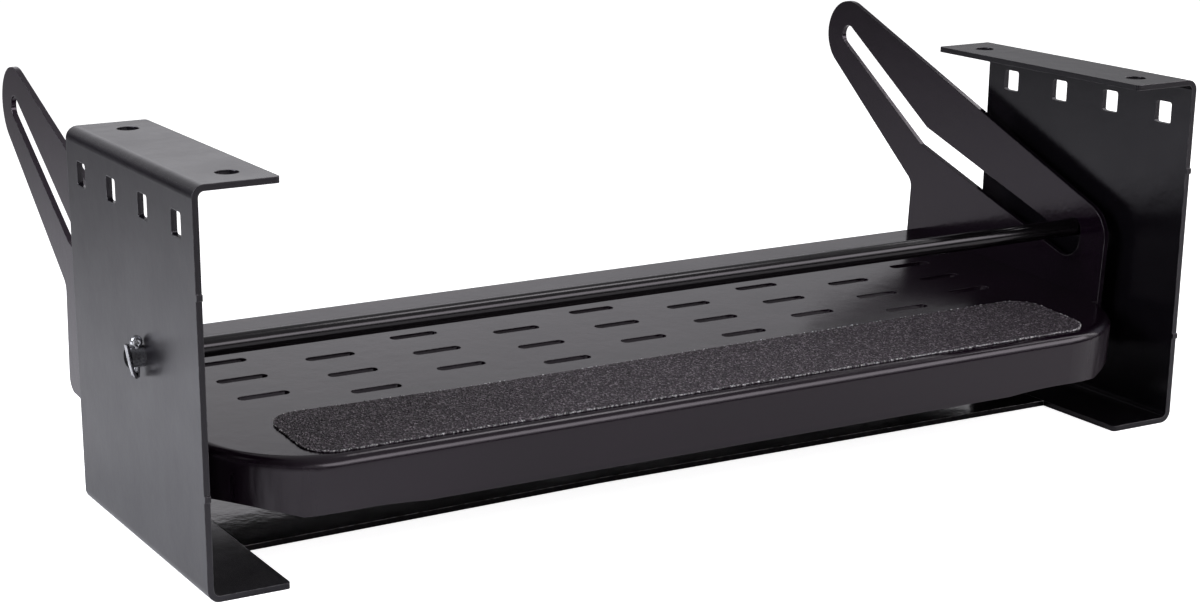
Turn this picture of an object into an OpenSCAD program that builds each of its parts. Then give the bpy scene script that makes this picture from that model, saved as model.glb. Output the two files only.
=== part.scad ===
// Caravan entry step: a tread unit that hangs by two hooked arms on a cross rod
// between two folded side brackets, and pulls out forwards from under the floor.
// X runs left to right, Y from front to back, Z up.
// The origin is the centre of the four bolt holes, on the mounting face of the top flanges.

/* [Side brackets] */
// Width over the outer faces of the two brackets
frame_w = 580; // [520:10:700]
// Height of a bracket
frame_h = 193; // [185:1:230]
// Depth of a bracket, front to back
frame_d = 167; // [155:1:200]
// Thickness of the folded sheet
sheet_t = 3; // [2.5:0.5:4]
// Outside radius of every fold
bend_r = 6; // [5:0.5:8]
// Width of the top flange
top_flange_w = 42; // [38:1:60]
// Width of the bottom flange
foot_flange_w = 41; // [36:1:60]
// Rounding of the flanges' free corners
flange_corner_r = 2; // [1:0.5:6]

/* [Fixing holes] */
// Diameter of the bolt holes in the top flanges
bolt_hole_d = 11; // [7:0.5:13]
// Bolt holes' distance from the bracket's outer face
bolt_inset = 25; // [20:1:32]
// Width of the square holes in the side plates
square_hole_w = 12; // [8:0.5:14]
// Corner radius of the square holes
square_hole_r = 1.5; // [0.5:0.5:3]
// Pitch of the square holes, front to back
hole_pitch = 42; // [25:1:45]
// Number of square holes in a side plate
hole_count = 4; // [2:1:4]
// Square holes' distance below the mounting face
hole_drop = 20.5; // [16:0.5:30]
// How far the small blanking tabs stand out of a side plate's front edge
tab_out = 1; // [0.5:0.5:2]
// Width of a blanking tab
tab_w = 3; // [2:0.5:6]
// Height of the lower blanking tab above the bottom face
tab_low_z = 50; // [30:1:80]
// Height of the upper blanking tab above the bottom face
tab_high_z = 143; // [120:1:150]

/* [Base sheet] */
// Base sheet's setback behind the brackets' front edges, at its left end
base_set_left = 56; // [20:1:80]
// Base sheet's setback at the kink of its front edge
base_set_kink = 61.5; // [20:0.5:80]
// Base sheet's setback at its right end
base_set_right = 58; // [20:1:80]
// Sideways position of the kink
base_kink_x = -46; // [-150:1:150]

/* [Cross rod] */
// Diameter of the cross rod
rod_d = 10; // [8:0.5:12]
// Rod's distance behind the brackets' front edges
rod_y = 71; // [66:1:80]
// Rod's height above the bottom faces
rod_z = 100; // [96:1:110]
// How far the rod stands out of each bracket
rod_out = 8; // [7:0.5:14]
// Chamfer on the rod's ends
rod_chamfer = 0.8; // [0.3:0.1:1.5]
// Radial running clearance of the rod in the brackets
rod_clear = 0.06; // [0.03:0.01:0.1]

/* [Split pins] */
// Diameter of a split pin's shank, both half-round legs together
pin_d = 3.6; // [3:0.1:3.8]
// Radial clearance of a split pin in the rod
pin_clear = 0.15; // [0.1:0.05:0.3]
// Slit between a split pin's two legs
pin_slit = 0.1; // [0.05:0.05:0.2]
// Angle by which a split pin's eye leans to the front
pin_lean = 8; // [0:1:30]
// Gap between a split pin's eye and the bracket
pin_gap = 0.3; // [0.3:0.1:1]
// Outside diameter of the eye
eye_d = 6.2; // [6:0.1:7.2]
// Inside radius of the bend between shank and eye
neck_r = 0.4; // [0.3:0.1:0.8]
// Length of the straight leg below the rod
leg_hang = 5.2; // [4:0.1:10]
// Length over which the folded leg leaves the rod straight
fold_start = 1.2; // [0.8:0.1:3]
// Reach of the fold below and in front of the rod
fold_reach = 5.2; // [5:0.1:8]
// How far the folded leg's tip stands out past the rod's end
tip_out = 2.4; // [2:0.1:4]
// How far the folded leg's tip lies in front of the rod's axis
tip_front = 4.4; // [3:0.1:8]
// Height of the folded leg's tip above the rod
tip_rise = 3.6; // [0:0.1:8]

/* [Step unit] */
// How far the tread leans down to the front
lean = 3.43; // [0:0.01:6]
// Gap between an arm and its bracket
side_gap = 10; // [6:1:14]
// Height of the tread's top face below the rod
tread_drop = 37; // [34:1:42]
// Height of the arms' bottom edges below the rod
arm_drop = 66; // [60:1:72]
// Arms' front edges ahead of the rod
arm_front = 26.3; // [22:0.1:32]
// Arms' back edges behind the rod
arm_back = 148.5; // [140:0.5:170]
// Rounding of an arm's front top corner
arm_nose_r = 20; // [8:1:24]
// Rounding of an arm's back bottom corner
arm_heel_r = 8; // [3:1:15]
// Fillet where the back edge meets the raised end
arm_throat_r = 8; // [3:1:15]
// Radius of the arm's raised end, around the slot's end
arm_tip_r = 21.6; // [18:0.1:26]
// Slope of an arm's upper edge
arm_top_slope = 18; // [16:0.5:20]
// Slope of the underside of the raised end
arm_under_slope = 34.5; // [30:0.5:38]

/* [Arm slots] */
// Play of the rod in the slots, over its diameter
slot_play = 2.5; // [1.5:0.1:4]
// Gap left between the rod and the top of the hook
hang_gap = 0.3; // [0.2:0.1:0.6]
// Depth of the locking tongue's tip below the rod's axis
tongue_drop = 5.7; // [4:0.1:8]
// Slope of the first run of the slot
run_slope_1 = 14.5; // [10:0.5:18]
// Length of the first run
run_len_1 = 137; // [120:1:145]
// Slope of the second run of the slot
run_slope_2 = 29.5; // [22:0.5:32]
// Length of the second run
run_len_2 = 96; // [80:1:100]

/* [Tread pan] */
// Tread's front face ahead of the rod
pan_front = 71.5; // [60:0.5:74]
// Plan radius of the front corners
pan_corner_r = 60; // [48:1:66]
// Height of the front skirt
skirt_h = 29; // [22:0.5:29]
// Rise of the skirt's lower edge round each corner
corner_rise = 5; // [1:0.5:7]
// Width of the rise round a corner
corner_rise_w = 66; // [45:1:75]
// Angle round the corner, from its front end, at which the edge is highest
corner_rise_turn = 52; // [40:1:60]
// Smaller rise of the lower edge where each corner starts
end_rise = 1.7; // [0.5:0.1:3]
// Width of the smaller rise
end_rise_w = 68; // [40:1:80]
// Distance of the smaller rise from the corner's front end
end_rise_set = 7; // [0:1:20]
// Rear flange's outer face, ahead of the arms' back edges
pan_back_gap = 3; // [1:0.5:8]
// Height of the rear flange
rear_flange_h = 22.3; // [12:0.1:26]
// Length of a drain slot
drain_l = 27.5; // [20:0.5:32]
// Width of a drain slot
drain_w = 6; // [4:0.5:8]
// Sideways pitch of one row of drain slots
drain_pitch_x = 110; // [90:5:130]
// Pitch between rows of the same columns
drain_pitch_y = 27.5; // [24:0.5:32]
// First row of drain slots behind the rod
drain_first = 7.75; // [6:0.25:14]
// Number of staggered rows of drain slots
drain_rows = 6; // [2:1:6]

/* [Grip strip] */
// Strip's left end, from the middle of the tread
grip_left = 233; // [180:1:238]
// Strip's right end, from the middle of the tread
grip_right = 236; // [180:1:238]
// Strip's front edge ahead of the rod
grip_front = 65; // [45:0.5:65.5]
// Strip's back edge ahead of the rod, at both ends
grip_back = 7; // [4:0.5:14]
// How much narrower the strip is cut at its waist
grip_waist = 3.8; // [0:0.1:8]
// Waist's distance left of the middle
grip_waist_x = 120; // [0:5:180]
// Thickness of the strip
grip_t = 0.8; // [0.5:0.1:1.5]
// Corner radius of the strip
grip_r = 16; // [4:1:20]

/* [Hidden] */
$fn = 48;
coat = [0.16, 0.16, 0.175];
coat_dark = [0.12, 0.12, 0.13];
grit = [0.2, 0.2, 0.21];
zinc = [0.74, 0.75, 0.77];
eps = 0.01;
lap = 0.02;
half_w = frame_w / 2;
web_in = half_w - sheet_t;
arm_out = web_in - side_gap;
arm_in = arm_out - sheet_t;
hole_span = (hole_count - 1) * hole_pitch;
hole_first = (frame_d - hole_span) / 2;
slot_w = rod_d + slot_play;
hook_top = rod_d / 2 + hang_gap - slot_w / 2;
tongue = [slot_w / 2, -tongue_drop];
run_dir_1 = [cos(run_slope_1), sin(run_slope_1)];
run_dir_2 = [cos(run_slope_2), sin(run_slope_2)];
run_start = tongue + slot_w / 2 * [sin(run_slope_1), -cos(run_slope_1)];
slot_kink = run_start + run_len_1 * run_dir_1;
slot_end = slot_kink + run_len_2 * run_dir_2;
pin_x = half_w + pin_gap + eye_d / 2;
pan_back = arm_back - pan_back_gap;
corner_u = pan_corner_r - pan_front;
corner_x = arm_out - pan_corner_r;
skirt_low = -tread_drop - skirt_h;

// Puts bracket coordinates, from the front edge and the bottom face, into the part's frame
module in_frame() {
    translate([0, -frame_d / 2, -frame_h]) children();
}

// Puts the step unit's coordinates, centred on the rod and square to the tread, into the part's frame
module in_step() {
    at_rod() rotate([lean, 0, 0]) children();
}

// Puts the rod's coordinates, centred on its axis, into the part's frame
module at_rod() {
    in_frame() translate([0, rod_y, rod_z]) children();
}

// Stands a side-view outline up on its edge, from x outwards by thickness t
module side_plate(x, t) {
    translate([x, 0, 0]) rotate([90, 0, 90]) linear_extrude(t) children();
}

function unit(v) = v / norm(v);
function xy(p) = [p[0], p[1]];

// Which way an outline turns at b, on its way from a to c: positive is to the left
function turn(a, b, c) = cross(b - a, c - b);

// Half the angle at b between the directions to a and c
function half_angle(a, b, c) = acos(min(1, max(-1, unit(a - b) * unit(c - b)))) / 2;

// Where a fillet of radius r at b starts on the side towards a, and its centre
function fillet_in(a, b, c, r) = b + unit(a - b) * r / tan(half_angle(a, b, c));
function fillet_mid(a, b, c, r) = b + unit(unit(a - b) + unit(c - b)) * r / sin(half_angle(a, b, c));

// Outline through points [x, y, radius], anticlockwise, with true arcs at the corners
module rounded_outline(pts) {
    n = len(pts);
    prev = [for (i = [0:n - 1]) xy(pts[(i + n - 1) % n])];
    here = [for (i = [0:n - 1]) xy(pts[i])];
    next = [for (i = [0:n - 1]) xy(pts[(i + 1) % n])];
    r = [for (i = [0:n - 1]) pts[i][2]];
    outward = [for (i = [0:n - 1]) turn(prev[i], here[i], next[i]) > 0];
    difference() {
        union() {
            polygon([for (i = [0:n - 1]) each r[i] > 0
                ? [fillet_in(prev[i], here[i], next[i], r[i]), fillet_in(next[i], here[i], prev[i], r[i])]
                : [here[i]]]);
            for (i = [0:n - 1]) if (r[i] > 0 && outward[i])
                translate(fillet_mid(prev[i], here[i], next[i], r[i])) circle(r[i] + lap);
        }
        for (i = [0:n - 1]) if (r[i] > 0 && !outward[i])
            translate(fillet_mid(prev[i], here[i], next[i], r[i])) circle(r[i] + lap);
    }
}

// Rectangle centred on the origin with rounded corners
module rounded_rect(w, h, r) {
    square([w - 2 * r, h], center = true);
    square([w, h - 2 * r], center = true);
    for (x = [-1, 1], y = [-1, 1]) translate([x * (w / 2 - r), y * (h / 2 - r)]) circle(r);
}

// Straight slot centred on the origin, length along X
module obround(l, w) {
    square([l - w, w], center = true);
    for (s = [-1, 1]) translate([s * (l - w) / 2, 0]) circle(d = w);
}

// Solid section of a channel whose right side has rounded corners
module channel_side(left_top, left_foot, right, low, high, r) {
    translate([left_top, (low + high) / 2]) square([right - r - left_top, (high - low) / 2]);
    translate([left_foot, low]) square([right - r - left_foot, (high - low) / 2 + eps]);
    translate([right - r - eps, low + r]) square([r + eps, high - low - 2 * r]);
    for (z = [low + r, high - r]) translate([right - r, z]) circle(r);
}

// Waste piece at a free corner of a flange
module corner_waste(r) {
    difference() {
        translate([-1, -1]) square(r + 1);
        translate([r, r]) circle(r);
    }
}

// The right bracket; the left one is its mirror image
module bracket() {
    difference() {
        union() {
            translate([0, frame_d, 0]) rotate([90, 0, 0]) linear_extrude(frame_d) difference() {
                channel_side(half_w - top_flange_w, half_w - foot_flange_w, half_w, 0, frame_h, bend_r);
                channel_side(half_w - top_flange_w - 1, half_w - foot_flange_w - 1, web_in,
                             sheet_t, frame_h - sheet_t, bend_r - sheet_t);
            }
            for (z = [tab_low_z, tab_high_z])
                translate([web_in, -tab_out, z - tab_w / 2]) cube([sheet_t, tab_out + 1, tab_w]);
        }
        for (s = [0, 1]) translate([half_w - top_flange_w, s * frame_d, frame_h - sheet_t - 1])
            mirror([0, s, 0]) linear_extrude(sheet_t + 2) corner_waste(flange_corner_r);
        translate([half_w - foot_flange_w, 0, -1])
            linear_extrude(sheet_t + 2) corner_waste(flange_corner_r);
        for (s = [0, 1]) translate([half_w - bolt_inset, hole_first + s * hole_span, frame_h - sheet_t - 1])
            cylinder(d = bolt_hole_d, h = sheet_t + 2);
        for (i = [0:hole_count - 1]) side_plate(web_in - 1, sheet_t + 2)
            translate([hole_first + i * hole_pitch, frame_h - hole_drop])
                rounded_rect(square_hole_w, square_hole_w, square_hole_r);
        translate([web_in - 1, rod_y, rod_z]) rotate([0, 90, 0])
            cylinder(d = rod_d + 2 * rod_clear, h = sheet_t + 2);
    }
}

module left_bracket() {
    color(coat) in_frame() mirror([1, 0, 0]) bracket();
}

module right_bracket() {
    color(coat) in_frame() bracket();
}

// Sheet that closes the floor of the frame, butted between the bottom flanges
module base_sheet() {
    x = half_w - foot_flange_w;
    color(coat) in_frame() linear_extrude(sheet_t) polygon([
        [-x, base_set_left], [base_kink_x, base_set_kink], [x, base_set_right],
        [x, frame_d], [-x, frame_d]]);
}

// Rod with chamfered ends and a cross hole for each split pin
module cross_rod() {
    l = frame_w + 2 * rod_out;
    r = rod_d / 2;
    color(coat_dark) at_rod() difference() {
        rotate([0, 90, 0]) rotate_extrude() polygon([
            [0, -l / 2], [r - rod_chamfer, -l / 2], [r, -l / 2 + rod_chamfer],
            [r, l / 2 - rod_chamfer], [r - rod_chamfer, l / 2], [0, l / 2]]);
        for (s = [-1, 1]) translate([s * pin_x, 0, 0]) rotate([pin_lean, 0, 0])
            cylinder(d = pin_d + 2 * pin_clear, h = 2 * rod_d, center = true);
    }
}

// Points of an arc in the plane of a split pin's eye, from angle a to angle b, without its first point
function eye_arc(x, z, r, a, b, n) = [for (i = [1:n])
    [x + r * cos(a + (b - a) * i / n), 0, z + r * sin(a + (b - a) * i / n)]];

// Point at share t of a smooth curve with the four handles p
function on_curve(p, t) = pow(1 - t, 3) * p[0] + 3 * pow(1 - t, 2) * t * p[1]
    + 3 * (1 - t) * t * t * p[2] + t * t * t * p[3];

// Half-round wire swept along a path, its flat side along the path and square to the direction wide
module half_round_wire(path, r, wide = [0, 1, 0], n = 6) {
    last = len(path) - 1;
    along = [for (i = [0:last]) unit(path[min(i + 1, last)] - path[max(i - 1, 0)])];
    across = [for (t = along) unit(wide - (wide * t) * t)];
    points = [for (i = [0:last], k = [0:n]) path[i]
        + r * sin(180 * k / n) * cross(along[i], across[i]) + r * cos(180 * k / n) * across[i]];
    ring = n + 1;
    sides = [for (i = [0:last - 1], k = [0:n]) let (a = i * ring + k, b = i * ring + (k + 1) % ring)
        each [[a, a + ring, b + ring], [a, b + ring, b]]];
    ends = [[for (k = [0:n]) k], [for (k = [n:-1:0]) last * ring + k]];
    polyhedron(points, concat(sides, ends));
}

// Right split pin: its eye above the rod, one leg straight, the other folded up past the rod's end
module split_pin() {
    r = rod_d / 2;
    leg_x = pin_slit / 2;
    eye_r = (eye_d - pin_d) / 2;
    bend_r = pin_d / 2 + neck_r;
    bend_x = bend_r + leg_x;
    neck = acos(bend_x / (bend_r + eye_r));
    neck_z = r - neck_r / 2;
    eye_z = neck_z + (bend_r + eye_r) * sin(neck);
    rod_end = half_w + rod_out - pin_x;
    fold = [
        [leg_x, 0, -r - fold_start],
        [leg_x, 0, -r - fold_start - fold_reach],
        [rod_end + rod_chamfer, -r - fold_reach, -r - fold_reach],
        [rod_end + tip_out, -tip_front, r + tip_rise]];
    half_round_wire(concat(
        [[-leg_x, 0, -r - leg_hang], [-leg_x, 0, neck_z]],
        eye_arc(-bend_x, neck_z, bend_r, 0, neck, 4),
        eye_arc(0, eye_z, eye_r, 180 + neck, -neck, 14),
        eye_arc(bend_x, neck_z, bend_r, 180 - neck, 180, 4),
        [for (i = [0:12]) on_curve(fold, i / 12)]), pin_d / 2);
}

module left_split_pin() {
    color(zinc) at_rod() translate([-pin_x, 0, 0]) rotate([pin_lean, 0, 0]) mirror([1, 0, 0]) split_pin();
}

module right_split_pin() {
    color(zinc) at_rod() translate([pin_x, 0, 0]) rotate([pin_lean, 0, 0]) split_pin();
}

// Slot for the rod: a hook over the rod, a tongue that locks it, then two runs at different slopes
module rod_slot() {
    w = slot_w / 2;
    side_1 = w * [sin(run_slope_1), -cos(run_slope_1)];
    side_2 = w * [sin(run_slope_2), -cos(run_slope_2)];
    mitre = (side_1 + side_2) / (1 + cos(run_slope_2 - run_slope_1));
    polygon([[-w, hook_top], [-w, -tongue_drop], tongue + 2 * side_1, slot_kink + mitre,
        slot_end + side_2, slot_end - side_2, slot_kink - mitre, tongue, [w, hook_top]]);
    translate([0, hook_top]) circle(w + lap);
    translate(slot_end) circle(w + lap);
    intersection() {
        translate(tongue) circle(slot_w + lap);
        translate(tongue - [1, 1]) polygon([[0, 0], [-2 * slot_w, 3], [-2 * slot_w, -2 * slot_w],
            2 * slot_w * [sin(run_slope_1 + 10), -cos(run_slope_1 + 10)]]);
    }
}

// Side view of an arm
module arm_outline() {
    up = arm_tip_r * [-sin(arm_top_slope), cos(arm_top_slope)];
    low = arm_tip_r * [sin(arm_under_slope), -cos(arm_under_slope)];
    nose_w = slot_end[1] + up[1] - (slot_end[0] + up[0] + arm_front) * tan(arm_top_slope);
    throat_w = slot_end[1] + low[1] - (slot_end[0] + low[0] - arm_back) * tan(arm_under_slope);
    rounded_outline([
        [-arm_front, -arm_drop, 2],
        [arm_back, -arm_drop, arm_heel_r],
        [arm_back, throat_w, arm_throat_r],
        [slot_end[0] + low[0], slot_end[1] + low[1], 0],
        [slot_end[0] + up[0], slot_end[1] + up[1], 0],
        [-arm_front, nose_w, arm_nose_r]]);
    translate(slot_end) circle(arm_tip_r + lap);
}

module arm(x) {
    color(coat) in_step() side_plate(x, sheet_t) difference() {
        arm_outline();
        rod_slot();
    }
}

module left_arm() {
    arm(-arm_out);
}

module right_arm() {
    arm(arm_in);
}

// Folded edge: a flat, a bend and a skirt of height h, as a section from the bend's outer face
module fold_section(h) {
    intersection() {
        difference() {
            translate([-bend_r, -bend_r]) circle(bend_r);
            translate([-bend_r, -bend_r]) circle(bend_r - sheet_t);
        }
        translate([-bend_r, -bend_r]) square(bend_r);
    }
    translate([-sheet_t, -h]) square([sheet_t, h - bend_r]);
}

// Plan of the tread's flat, inside the bends
module tread_plan() {
    flat_r = pan_corner_r - bend_r;
    translate([-corner_x, corner_u - flat_r]) square([2 * corner_x, flat_r]);
    for (s = [-1, 1]) intersection() {
        translate([s * corner_x, corner_u]) circle(flat_r);
        translate([s * corner_x - flat_r, corner_u - flat_r]) square([2 * flat_r, flat_r]);
    }
    translate([-arm_in, -arm_front]) square([2 * arm_in, arm_front + pan_back - bend_r]);
}

// Waste under the skirt's lower edge, a long arc that faces outwards at an angle from the front
module edge_waste(turn, rise, w) {
    r = (pow(w / 2, 2) + pow(rise, 2)) / (2 * rise);
    translate([0, 0, skirt_low + rise - r]) rotate([0, 90, turn - 90])
        translate([0, 0, pan_corner_r / 2]) cylinder(r = r, h = pan_corner_r, $fn = 180);
}

// Tread with its front skirt wrapped round both corners, rear flange and staggered drain slots
module tread_pan() {
    color(coat) in_step() difference() {
        union() {
            translate([0, 0, -tread_drop - sheet_t]) linear_extrude(sheet_t) tread_plan();
            translate([-corner_x, -pan_front, -tread_drop]) rotate([90, 0, 90])
                linear_extrude(2 * corner_x) mirror([1, 0]) fold_section(skirt_h);
            for (s = [0, 1]) mirror([s, 0, 0]) difference() {
                translate([corner_x, corner_u, -tread_drop]) rotate([0, 0, -90])
                    rotate_extrude(angle = 90) translate([pan_corner_r, 0]) fold_section(skirt_h);
                translate([corner_x, -arm_front, -arm_drop - 10])
                    cube([2 * pan_corner_r, 2 * pan_corner_r, arm_drop]);
            }
            translate([-arm_in, pan_back, -tread_drop]) rotate([90, 0, 90])
                linear_extrude(2 * arm_in) fold_section(rear_flange_h);
        }
        for (s = [0, 1]) mirror([s, 0, 0]) translate([corner_x, corner_u, 0]) {
            edge_waste(corner_rise_turn, corner_rise, corner_rise_w);
            translate([-end_rise_set, 0, 0]) edge_waste(0, end_rise, end_rise_w);
        }
        for (row = [0:drain_rows - 1]) {
            shift = row % 2 == 0 ? drain_pitch_x / 2 : 0;
            for (x = [-2 * drain_pitch_x + shift : drain_pitch_x : 2 * drain_pitch_x])
                translate([x, drain_first + row * drain_pitch_y / 2, -tread_drop - sheet_t - 1])
                    linear_extrude(sheet_t + 2) obround(drain_l, drain_w);
        }
    }
}

// Gritty anti-slip strip on the front of the tread, cut to a slight waist along its back edge
module grip_strip() {
    color(grit) in_step() translate([0, 0, -tread_drop]) linear_extrude(grip_t) rounded_outline([
        [-grip_left, -grip_front, grip_r],
        [grip_right, -grip_front, grip_r],
        [grip_right, -grip_back, grip_r],
        [-grip_waist_x, -grip_back - grip_waist, 0],
        [-grip_left, -grip_back, grip_r]]);
}

left_bracket();
right_bracket();
base_sheet();
cross_rod();
left_split_pin();
right_split_pin();
tread_pan();
left_arm();
right_arm();
grip_strip();
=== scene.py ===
"""Looks of the caravan entry step: gloss black coats, a gritty strip, zinc pins and a white studio."""
import bpy
import math
import random
from mathutils import Matrix, Quaternion, Vector

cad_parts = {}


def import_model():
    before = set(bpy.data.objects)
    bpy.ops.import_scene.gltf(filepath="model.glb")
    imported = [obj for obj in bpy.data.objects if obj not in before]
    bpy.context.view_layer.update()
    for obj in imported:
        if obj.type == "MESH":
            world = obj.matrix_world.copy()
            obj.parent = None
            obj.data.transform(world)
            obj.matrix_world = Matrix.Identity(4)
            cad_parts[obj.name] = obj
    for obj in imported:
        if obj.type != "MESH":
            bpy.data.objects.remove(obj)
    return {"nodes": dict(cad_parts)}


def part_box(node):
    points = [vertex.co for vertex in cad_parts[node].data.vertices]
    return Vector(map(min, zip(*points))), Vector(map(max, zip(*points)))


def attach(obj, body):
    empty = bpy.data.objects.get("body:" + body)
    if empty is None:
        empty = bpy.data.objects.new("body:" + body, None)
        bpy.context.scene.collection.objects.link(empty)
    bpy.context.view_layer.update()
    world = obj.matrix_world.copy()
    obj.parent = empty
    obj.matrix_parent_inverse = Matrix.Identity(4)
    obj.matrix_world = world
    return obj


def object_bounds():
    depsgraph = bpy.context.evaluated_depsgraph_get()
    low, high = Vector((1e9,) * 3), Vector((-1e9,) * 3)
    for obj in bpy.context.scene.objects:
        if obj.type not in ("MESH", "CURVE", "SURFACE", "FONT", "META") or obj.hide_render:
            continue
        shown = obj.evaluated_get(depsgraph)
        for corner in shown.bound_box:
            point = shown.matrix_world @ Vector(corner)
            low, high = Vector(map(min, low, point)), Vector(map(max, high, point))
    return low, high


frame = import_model()
CAD_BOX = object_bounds()

# Camera, as fitted to the photograph, in degrees, metres and pixels of the 1200 x 606 image
IMAGE_W, IMAGE_H = 1200, 606
FOCAL_PX = 2379.1
AXIS_PX = (479.9, 420.8)
YAW, PITCH, ROLL = 28.045, 17.103, -0.327
CAMERA_AT = (-0.65465, -1.03107, 0.20355)
SENSOR_MM = 36.0

# Floor: half its side in metres, its grey, and the glow that makes it white to the camera
FLOOR_HALF, FLOOR_GREY, FLOOR_GLOW = 6.0, 0.9, 0.9

# Sky: grey of the soft fill, and then what reflections show: a grey at the sine of the elevation, its
# tint, and a factor by the direction's X from -1 to 1
FILL = 0.10
REFLECTED_SKY = [(0.12, 0.08), (0.19, 1.0), (0.27, 0.95), (0.42, 0.62), (0.60, 0.34)]
SKY_TINT = (0.97, 0.96, 1.0)
SKY_BY_X = [(-0.40, 0.2), (0.10, 1.0), (0.25, 1.2), (0.42, 1.1), (0.58, 0.80), (0.70, 0.54)]

LAMPS = {
    # name: place, target, width and height, watts, colour
    "key": ((0.72, 0.0, 1.4), (0.1, 0.0, -0.1), (0.4, 0.5), 2.4, (1.0, 1.0, 1.0)),
    "front": ((0.72, -1.2, 0.62), (0.2, -0.35, -0.19), (2.2, 0.6), 13, (1.0, 0.96, 1.0)),
    "left": ((-0.8, 0.0, 0.28), (-0.42, 0.28, -0.19), (0.5, 0.5), 7.7, (0.92, 0.935, 1.0)),
    "right": ((1.2, 0.15, 0.45), (0.5, 0.2, -0.19), (0.9, 0.9), 6.5, (1.0, 0.98, 1.0)),
}

COAT_NODES = {
    "left_bracket": "coat_frame", "right_bracket": "coat_frame", "base_sheet": "coat_base",
    "tread_pan": "coat_tread", "left_arm": "coat_arm", "right_arm": "coat_arm", "cross_rod": "coat_rod",
}
COATS = {
    # name: base colour, roughness, strength of the orange peel, tint of the straight-on gloss, grey of
    # worn edges, which also paints highlights on them, and radius in metres at which edges shade as
    # rounded
    "coat_frame": ((0.0036, 0.0030, 0.0042), 0.20, 0.14, (0.96, 0.93, 1.0), 0.14, 0.0006),
    # coat_base's bright edge grey is mostly a painted highlight along the base sheet's cut edges
    "coat_base": ((0.0020, 0.0018, 0.0020), 0.10, 0.16, (1.0, 0.96, 1.0), 0.60, 0.0006),
    "coat_tread": ((0.0060, 0.0024, 0.0060), 0.18, 0.10, (1.0, 0.95, 1.0), 0.075, 0.0004),
    "coat_arm": ((0.0048, 0.0020, 0.0052), 0.13, 0.12, (1.0, 0.90, 1.0), 0.075, 0.0006),
    "coat_rod": ((0.0024, 0.0020, 0.0024), 0.15, 0.06, (1.0, 0.96, 1.0), 0.075, 0.0006),
}
IOR = 1.5

# How far a coat's colour and roughness vary, as factors at the low and the high end
VARIATION = (0.85, 1.2)

# Noises, each as features a metre, detail and roughness, and the range that most of their values lie in
TONE_NOISE = (14.0, 5.0, 0.55)
SMEAR_NOISE = (22.0, 6.0, 0.65)
BROAD_PEEL_NOISE = (90.0, 2.0, 0.5)
FINE_PEEL_NOISE = (420.0, 3.0, 0.5)
WEAR_AND_GLINT_NOISE = (160.0, 5.0, 0.7)
SCUFF_NOISE = (700.0, 4.0, 0.6)
STREAK_NOISE = (75.0, 2.0, 0.5)
PATCH_NOISE = (350.0, 4.0, 0.55)
DENT_NOISE = (900.0, 4.0, 0.55)
CLUMP_NOISE = (500.0, 5.0, 0.7)
CHIP_NOISE = (2500.0, 4.0, 0.55)
MOST_OF_NOISE = (0.3, 0.7)

# Bumps, each as strength and depth in metres; the peel's strength is in COATS
BROAD_PEEL_DEPTH, FINE_PEEL_DEPTH = 0.0006, 0.0002
STREAK_BUMP = (0.6, 0.0012)
DENT_BUMP = (0.25, 0.0003)
GRAIN_BUMP = (1.0, 0.0010)
CLUMP_BUMP = (0.6, 0.0010)
CHIP_BUMP = (0.3, 0.0001)

# Worn edges with painted edge highlights: agreement of the rounded and the true normal at which wear
# and highlight start and are full, the noise at which they do, and the least share of them
EDGE_WEAR_AND_GLINT = (0.985, 0.85)
WEAR_AND_GLINT_RUNS, WEAR_AND_GLINT_LEAST = (0.40, 0.62), 0.15

# Outsides of the side plates: distance from the middle plane at which they start, and roughness added
PLATE_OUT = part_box("right_bracket")[1][0]
OUTSIDE_FROM = (PLATE_OUT - 0.0020, PLATE_OUT - 0.0005)
OUTSIDE_DULLING = 0.12

# Rod outside the plates: where it and its dull near-black end start, how its coat is scuffed to the steel,
# the colours of steel and end, and roughness added
ROD_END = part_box("cross_rod")[1][0]
STUB_FROM = (PLATE_OUT - 0.0005, PLATE_OUT + 0.0005)
NEAR_BLACK_END_FROM = (ROD_END - 0.0012, ROD_END - 0.0008)
SCUFF_RUNS, SCUFF_LEAST = (0.35, 0.6), 0.25
STEEL, NEAR_BLACK_END = (0.20, 0.20, 0.21), (0.0015, 0.0015, 0.0015)
STUB_DULLING = 0.22

# Streaks at the skirt's corners: where they start, how far up or down a normal points where they end,
# their stretch, and roughness added
ARM_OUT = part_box("right_arm")[1][0]
CORNER_FROM = (ARM_OUT - 0.052, ARM_OUT - 0.032)
UPRIGHT_TO = (0.15, 0.6)
STREAK_STRETCH = (1.0, 1.0, 0.25)
STREAK_DULLING = 0.35

# Zinc of the pins: colour and roughness of dull and bright patches, and rounding of the edges in metres
ZINC_DULL, ZINC_BRIGHT = (0.26, 0.26, 0.28), (0.66, 0.67, 0.69)
ZINC_ROUGHNESS = (0.30, 0.16)
ZINC_ROUNDING = 0.0007

# Grit: grains a metre in the strip's surface, roughness, tones of the grains and of the pale ones along
# the cut edges, which also stand in for painted glints there
GRIT_SCALE = 1300.0
GRIT_ROUGHNESS = (0.45, 0.8)
CHIP_ROUGHNESS = (0.3, 0.7)
GRIT_TONES = [(0.0, (0.003, 0.002, 0.003)), (0.50, (0.020, 0.013, 0.019)), (0.85, (0.095, 0.074, 0.093)),
              (0.97, (0.32, 0.28, 0.31))]
PALE_GRAIN_AND_GLINT_TONES = [(0.0, (0.02, 0.018, 0.02)), (0.25, (0.12, 0.11, 0.12)), (0.5, (0.60, 0.59, 0.60)),
               (0.9, (0.90, 0.89, 0.90))]

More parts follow.
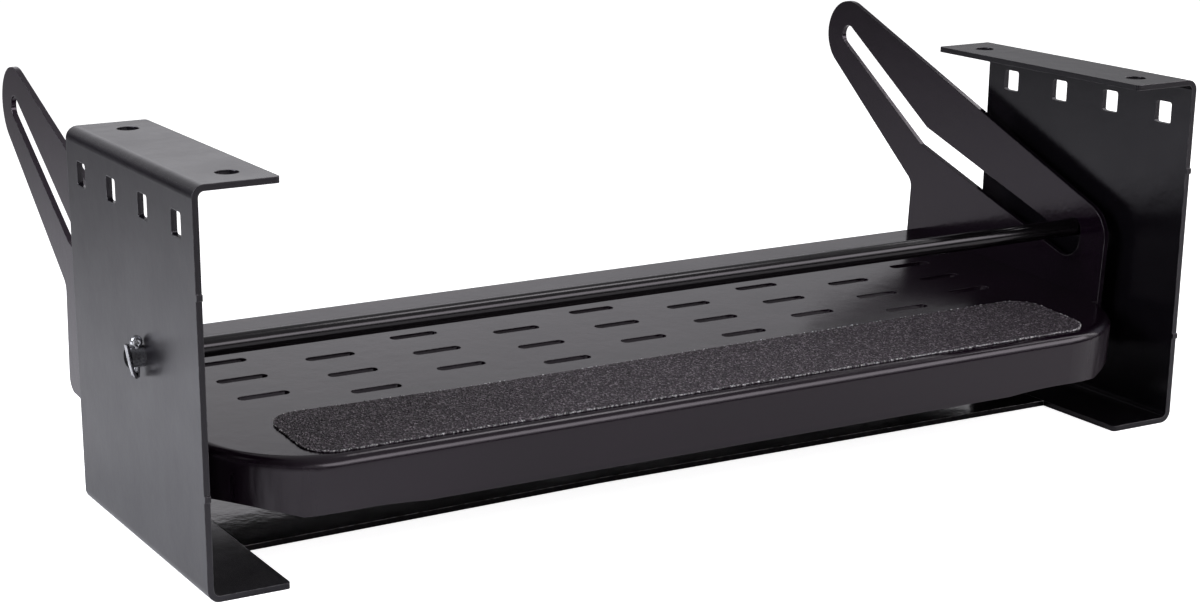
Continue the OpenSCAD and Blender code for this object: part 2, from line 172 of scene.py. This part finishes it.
# Loose grains: how many on the strip and along its edges, the seed of their places, their sizes in
# metres, how far out and down from an edge its grains lie, and the share of those away from the front
GRAINS, RIM_GRAINS, GRAIN_SEED = 16000, 1700, 7
GRAIN_SIZE, RIM_GRAIN_SIZE = (0.00026, 0.00052), (0.0003, 0.00065)
RIM_OUT, RIM_DOWN = (-0.0003, 0.0003), (-0.0001, 0.0003)
BACK_SHARE = 0.3

# A loose grain's corners, how far they reach as a share of its size, and the spread of that
GRAIN_CORNERS = [Vector(corner) for corner in ((1, 1, 1), (1, -1, -1), (-1, 1, -1), (-1, -1, 1))]
GRAIN_REACH, REACH_SPREAD = 0.55, (0.7, 1.2)

# Normals: least upward part on the strip's top, most on its sides, and the Y that faces the front
TOP_UP, SIDE_UP, FRONT_Y = 0.9, 0.3, -0.3

# Numbers of the colour sockets on a Mix node
MIX_FIRST, MIX_SECOND, MIX_RESULT = 6, 7, 2


class Graph:
    """A node tree, emptied, with a short call for each kind of node used here."""

    def __init__(self, tree):
        self.tree = tree
        tree.nodes.clear()

    def feed(self, socket, value):
        """Links an input to a node's output, or sets it to a number, a vector or a colour."""
        if isinstance(value, bpy.types.NodeSocket):
            self.tree.links.new(value, socket)
        elif isinstance(value, tuple) and socket.type == "RGBA":
            socket.default_value = (*value, 1.0)
        else:
            socket.default_value = value

    def node(self, kind, *values, operation=None, **inputs):
        """A new node, its inputs fed in order by values, or by name, where _ stands for a space."""
        made = self.tree.nodes.new("ShaderNode" + kind)
        if operation is not None:
            made.operation = operation
        for socket, value in zip(made.inputs, values):
            self.feed(socket, value)
        for name, value in inputs.items():
            self.feed(made.inputs[name.replace("_", " ")], value)
        return made

    def object_coord(self):
        return self.node("TexCoord").outputs["Object"]

    def true_normal(self):
        return self.node("NewGeometry").outputs["True Normal"]

    def axis(self, vector, axis):
        return self.node("SeparateXYZ", Vector=vector).outputs[axis]

    def math(self, operation, *values):
        return self.node("Math", *values, operation=operation).outputs[0]

    def noise(self, coord, settings):
        scale, detail, rough = settings
        made = self.node("TexNoise", Vector=coord, Scale=scale, Detail=detail, Roughness=rough)
        return made.outputs["Fac"]

    def fade(self, value, between, low=0.0, high=1.0):
        """Goes from low to high while value goes between two limits, and stays there beyond them."""
        start, end = between
        made = self.node("MapRange", Value=value, From_Min=start, From_Max=end, To_Min=low, To_Max=high)
        return made.outputs["Result"]

    def ramp(self, fac, stops):
        """Colour ramp over stops [(position, colour)]."""
        made = self.node("ValToRGB", Fac=fac)
        elements = made.color_ramp.elements
        while len(elements) < len(stops):
            elements.new(0.5)
        for element, (position, colour) in zip(elements, stops):
            element.position = position
            element.color = (*colour, 1.0)
        return made.outputs["Color"]

    def mix(self, fac, first, second):
        """Colour between first and second, each a colour or a socket."""
        made = self.node("Mix", Factor=fac)
        made.data_type = "RGBA"
        self.feed(made.inputs[MIX_FIRST], first)
        self.feed(made.inputs[MIX_SECOND], second)
        return made.outputs[MIX_RESULT]

    def rounded(self, radius, samples):
        """Normal that shades edges as rounded."""
        made = self.node("Bevel", Radius=radius)
        made.samples = samples
        return made.outputs["Normal"]

    def bump(self, height, settings, normal=None):
        strength, depth = settings
        made = self.node("Bump", Height=height, Strength=strength, Distance=depth)
        if normal is not None:
            self.feed(made.inputs["Normal"], normal)
        return made.outputs["Normal"]

    def surface(self, output, shader):
        """Ends the tree in its output node."""
        self.node(output, Surface=shader)


def new_material(name):
    """A material and its empty graph."""
    material = bpy.data.materials.new(name)
    material.use_nodes = True
    return material, Graph(material.node_tree)


def scaled(colour, factor):
    return tuple(min(1.0, part * factor) for part in colour)


def distance_out(graph, coord):
    """Distance from the part's middle plane, in metres."""
    return graph.math("ABSOLUTE", graph.axis(coord, "X"))


def worn_and_glinting_edges(graph, coord, rounded):
    """1 on sharp outer edges where the coat is rubbed thin and edge highlights are painted, in broken
    runs.
    """
    agreement = graph.node("VectorMath", rounded, graph.true_normal(), operation="DOT_PRODUCT")
    edge = graph.fade(agreement.outputs["Value"], EDGE_WEAR_AND_GLINT)
    runs = graph.fade(graph.noise(coord, WEAR_AND_GLINT_NOISE), WEAR_AND_GLINT_RUNS, low=WEAR_AND_GLINT_LEAST)
    return graph.math("MULTIPLY", edge, runs)


def dull_outsides(graph, coord, look):
    """Makes the outer faces of the side plates duller than the inner ones."""
    outside = graph.fade(distance_out(graph, coord), OUTSIDE_FROM, high=OUTSIDE_DULLING)
    look["Roughness"] = graph.math("ADD", look["Roughness"], outside)


def scuff_rod_ends(graph, coord, look):
    """Scuffs the coat off the rod outside the plates, and makes its end faces dull and near black."""
    out_at = distance_out(graph, coord)
    stub = graph.fade(out_at, STUB_FROM)
    scuff = graph.fade(graph.noise(coord, SCUFF_NOISE), SCUFF_RUNS, low=SCUFF_LEAST)
    bare = graph.math("MULTIPLY", stub, scuff)
    # cut: the rod's end face, dull and near black
    cut = graph.fade(out_at, NEAR_BLACK_END_FROM)
    scuffed = graph.mix(bare, look["Base Color"], STEEL)
    look["Base Color"] = graph.mix(cut, scuffed, NEAR_BLACK_END)
    look["Metallic"] = bare
    dulled = graph.math("ADD", look["Roughness"], graph.math("MULTIPLY", stub, STUB_DULLING))
    look["Roughness"] = graph.math("MAXIMUM", dulled, cut)


def streak_corners(graph, coord, look):
    """Puts upright dull streaks on the skirt where it was drawn round the corners."""
    stretched = graph.node("Mapping", Vector=coord, Scale=STREAK_STRETCH).outputs["Vector"]
    streak = graph.fade(graph.noise(stretched, STREAK_NOISE), MOST_OF_NOISE)
    at_corner = graph.fade(distance_out(graph, coord), CORNER_FROM)
    flat = graph.math("ABSOLUTE", graph.axis(graph.true_normal(), "Z"))
    upright = graph.fade(flat, UPRIGHT_TO, low=1.0, high=0.0)
    streaks = graph.math("MULTIPLY", streak, graph.math("MULTIPLY", at_corner, upright))
    dulling = graph.math("MULTIPLY", streaks, STREAK_DULLING)
    look["Roughness"] = graph.math("ADD", look["Roughness"], dulling)
    look["Normal"] = graph.bump(streaks, STREAK_BUMP, look["Normal"])


COAT_EXTRAS = {"coat_frame": dull_outsides, "coat_rod": scuff_rod_ends, "coat_tread": streak_corners}


def powder_coat(name, colour, roughness, peel, tint, edge_wear_and_glint_grey, rounding):
    """Gloss powder coat: orange peel, faint smears in the gloss, thin and rubbed along its edges, with
    painted edge highlights there.
    """
    material, graph = new_material(name)
    coord = graph.object_coord()
    edge = graph.rounded(rounding, samples=6)
    less, more = VARIATION
    tones = list(zip(MOST_OF_NOISE, (scaled(colour, less), scaled(colour, more))))
    coat = graph.ramp(graph.noise(coord, TONE_NOISE), tones)
    worn_and_glint = worn_and_glinting_edges(graph, coord, edge)
    smear = graph.noise(coord, SMEAR_NOISE)
    broad = graph.bump(graph.noise(coord, BROAD_PEEL_NOISE), (peel, BROAD_PEEL_DEPTH), edge)
    look = {
        # edge grey: rubbed coat together with painted edge highlights
        "Base Color": graph.mix(worn_and_glint, coat, (edge_wear_and_glint_grey, 0.97 * edge_wear_and_glint_grey, edge_wear_and_glint_grey)),
        "Roughness": graph.fade(smear, MOST_OF_NOISE, roughness * less, roughness * more),
        "Normal": graph.bump(graph.noise(coord, FINE_PEEL_NOISE), (peel, FINE_PEEL_DEPTH), broad),
    }
    if name in COAT_EXTRAS:
        COAT_EXTRAS[name](graph, coord, look)
    shader = graph.node("BsdfPrincipled", IOR=IOR, Specular_Tint=tint)
    for socket, value in look.items():
        graph.feed(shader.inputs[socket], value)
    graph.surface("OutputMaterial", shader.outputs["BSDF"])
    return material


def zinc():
    """Bright zinc wire with dull patches."""
    material, graph = new_material("zinc_wire")
    coord = graph.object_coord()
    patch = graph.noise(coord, PATCH_NOISE)
    colour = graph.ramp(patch, list(zip(MOST_OF_NOISE, (ZINC_DULL, ZINC_BRIGHT))))
    rough = graph.fade(patch, MOST_OF_NOISE, *ZINC_ROUGHNESS)
    edge = graph.rounded(ZINC_ROUNDING, samples=8)
    dents = graph.bump(graph.noise(coord, DENT_NOISE), DENT_BUMP, edge)
    shader = graph.node("BsdfPrincipled", Metallic=1.0, Base_Color=colour, Roughness=rough, Normal=dents)
    graph.surface("OutputMaterial", shader.outputs["BSDF"])
    return material


def grit():
    """Anti-slip strip: sharp mineral grains in a dark binder."""
    material, graph = new_material("grit_strip")
    coord = graph.object_coord()
    grain = graph.node("TexVoronoi", Vector=coord, Scale=GRIT_SCALE)
    speck = graph.node("SeparateColor", Color=grain.outputs["Color"])
    colour = graph.ramp(speck.outputs["Red"], GRIT_TONES)
    rough = graph.fade(speck.outputs["Green"], (0.0, 1.0), *GRIT_ROUGHNESS)
    grains = graph.bump(grain.outputs["Distance"], GRAIN_BUMP)
    clumps = graph.bump(graph.noise(coord, CLUMP_NOISE), CLUMP_BUMP, grains)
    shader = graph.node("BsdfPrincipled", IOR=IOR, Base_Color=colour, Roughness=rough, Normal=clumps)
    graph.surface("OutputMaterial", shader.outputs["BSDF"])
    return material


def loose_grit(name, tones):
    """Single grains, each of its own tone."""
    material, graph = new_material(name)
    island = graph.node("NewGeometry").outputs["Random Per Island"]
    chips = graph.noise(graph.object_coord(), CHIP_NOISE)
    rough = graph.fade(chips, MOST_OF_NOISE, *CHIP_ROUGHNESS)
    normal = graph.bump(chips, CHIP_BUMP)
    shader = graph.node(
        "BsdfPrincipled", Base_Color=graph.ramp(island, tones), Roughness=rough, Normal=normal)
    graph.surface("OutputMaterial", shader.outputs["BSDF"])
    return material


def new_object(name, points, faces, material):
    mesh = bpy.data.meshes.new(name)
    mesh.from_pydata(points, [], faces)
    mesh.materials.append(material)
    obj = bpy.data.objects.new(name, mesh)
    bpy.context.scene.collection.objects.link(obj)
    return obj


def places_on(triangles, count, draw):
    """Random places spread evenly over triangles."""
    areas = [(b - a).cross(c - a).length for a, b, c in triangles]
    places = []
    for a, b, c in draw.choices(triangles, areas, k=count):
        u, v = draw.random(), draw.random()
        if u + v > 1:
            u, v = 1 - u, 1 - v
        places.append(a + u * (b - a) + v * (c - a))
    return places


def rim_edges(mesh, top):
    """Edges where the strip's sides meet its top, as (start, end, weight, outward normal)."""
    top_points = {corner.to_tuple(6) for triangle in top for corner in triangle}
    edges = []
    for side in mesh.polygons:
        corners = [mesh.vertices[v].co for v in side.vertices]
        ends = [corner for corner in corners if corner.to_tuple(6) in top_points]
        if abs(side.normal.z) < SIDE_UP and len(ends) == 2:
            share = 1.0 if side.normal.y < FRONT_Y else BACK_SHARE
            edges.append((*ends, share * (ends[1] - ends[0]).length, side.normal))
    return edges


def places_along(edges, count, draw):
    """Random places close to edges, more of them on edges of greater weight."""
    weights = [weight for _, _, weight, _ in edges]
    places = []
    for start, end, _, outward in draw.choices(edges, weights, k=count):
        place = start + draw.random() * (end - start) + draw.uniform(*RIM_OUT) * outward
        places.append(place - Vector((0, 0, draw.uniform(*RIM_DOWN))))
    return places


def grain_object(name, places, size_range, material, draw):
    """Small four-sided grains at their places, each turned and stretched at random."""
    sizes = [draw.uniform(*size_range) for _ in places]
    points, faces = [], []
    for place, size in zip(places, sizes):
        turn = Quaternion([draw.gauss(0, 1) for _ in range(4)]).normalized()
        first = len(points)
        for corner in GRAIN_CORNERS:
            reach = GRAIN_REACH * size * draw.uniform(*REACH_SPREAD)
            points.append(place + reach * (turn @ corner))
        faces += [(first, first + 1, first + 2), (first, first + 3, first + 1),
                  (first, first + 2, first + 3), (first + 1, first + 3, first + 2)]
    return new_object(name, points, faces, material)


def grip_grains():
    """Grains standing on the strip, and pale ones along its cut edges, mostly the front one; the pale ones
    also stand in for painted glints.
    """
    draw = random.Random(GRAIN_SEED)
    mesh = frame["nodes"]["grip_strip"].data
    mesh.calc_loop_triangles()
    top = [[mesh.vertices[v].co for v in triangle.vertices]
           for triangle in mesh.loop_triangles if triangle.normal.z > TOP_UP]
    places = places_on(top, GRAINS, draw)
    grains = grain_object("grip_grains", places, GRAIN_SIZE, loose_grit("loose_grit", GRIT_TONES), draw)
    places = places_along(rim_edges(mesh, top), RIM_GRAINS, draw)
    # pale rim grains: partly pale grit, partly painted glints along the cut edges
    pale = loose_grit("rim_grit_and_glints", PALE_GRAIN_AND_GLINT_TONES)
    rims = grain_object("grip_rim_grains", places, RIM_GRAIN_SIZE, pale, draw)
    for piece in (grains, rims):
        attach(piece, "step")


def dress(node, material):
    """Gives a CAD node its material."""
    mesh = frame["nodes"][node].data
    mesh.materials.clear()
    mesh.materials.append(material)


def materials():
    made = {name: powder_coat(name, *values) for name, values in COATS.items()}
    for node, name in COAT_NODES.items():
        dress(node, made[name])
    wire = zinc()
    for node in ("left_split_pin", "right_split_pin"):
        dress(node, wire)
    dress("grip_strip", grit())


def floor():
    """Pale floor that keeps the soft shadow; the camera sees it as white."""
    material, graph = new_material("floor_white")
    pale = graph.node("BsdfDiffuse", Color=(FLOOR_GREY,) * 3)
    to_camera = graph.node("LightPath").outputs["Is Camera Ray"]
    glow = graph.node("Emission", Color=(FLOOR_GLOW,) * 3, Strength=to_camera)
    both = graph.node("AddShader", pale.outputs["BSDF"], glow.outputs["Emission"])
    graph.surface("OutputMaterial", both.outputs[0])
    z, half = CAD_BOX[0][2], FLOOR_HALF
    corners = [(-half, -half, z), (half, -half, z), (half, half, z), (-half, half, z)]
    obj = new_object("floor", corners, [(0, 1, 2, 3)], material)


def world():
    """White to the camera and through glass, a low bright band in reflections, else a soft fill."""
    made = bpy.data.worlds.new("studio")
    bpy.context.scene.world = made
    made.use_nodes = True
    graph = Graph(made.node_tree)
    path = graph.node("LightPath")
    direction = graph.node("TexCoord").outputs["Generated"]
    stops = [(sine, tuple(grey * tint for tint in SKY_TINT)) for sine, grey in REFLECTED_SKY]
    sky = graph.ramp(graph.axis(direction, "Z"), stops)
    across = graph.fade(graph.axis(direction, "X"), (-1.0, 1.0))
    side = graph.ramp(across, [(0.5 + x / 2, (factor,) * 3) for x, factor in SKY_BY_X])
    white = (1.0, 1.0, 1.0)
    surface = graph.node("Background", Color=(FILL,) * 3).outputs[0]
    for ray, colour, strength in (("Is Camera Ray", white, 1.0), ("Is Glossy Ray", sky, side),
                                  ("Is Transmission Ray", white, 1.0)):
        shown = graph.node("Background", Color=colour, Strength=strength).outputs[0]
        surface = graph.node("MixShader", path.outputs[ray], surface, shown).outputs[0]
    graph.surface("OutputWorld", surface)


def lights():
    for name, (place, target, size, watts, colour) in LAMPS.items():
        data = bpy.data.lights.new(name, "AREA")
        data.color = colour
        data.shape = "RECTANGLE"
        data.size, data.size_y = size
        data.energy = watts
        obj = bpy.data.objects.new(name, data)
        obj.location = place
        obj.rotation_euler = (Vector(target) - Vector(place)).to_track_quat("-Z", "Y").to_euler()
        bpy.context.scene.collection.objects.link(obj)


def camera():
    data = bpy.data.cameras.new("camera")
    data.sensor_fit = "HORIZONTAL"
    data.sensor_width = SENSOR_MM
    data.lens = FOCAL_PX * SENSOR_MM / IMAGE_W
    data.shift_x = (IMAGE_W / 2 - AXIS_PX[0]) / IMAGE_W
    data.shift_y = (AXIS_PX[1] - IMAGE_H / 2) / IMAGE_W
    obj = bpy.data.objects.new("camera", data)
    turn = (Matrix.Rotation(math.radians(-YAW), 4, "Z") @ Matrix.Rotation(math.radians(90 - PITCH), 4, "X")
            @ Matrix.Rotation(math.radians(ROLL), 4, "Z"))
    obj.matrix_world = Matrix.Translation(CAMERA_AT) @ turn
    bpy.context.scene.collection.objects.link(obj)
    bpy.context.scene.camera = obj


materials()
grip_grains()
floor()
world()
lights()
camera()
bpy.context.scene.view_settings.view_transform = "Standard"
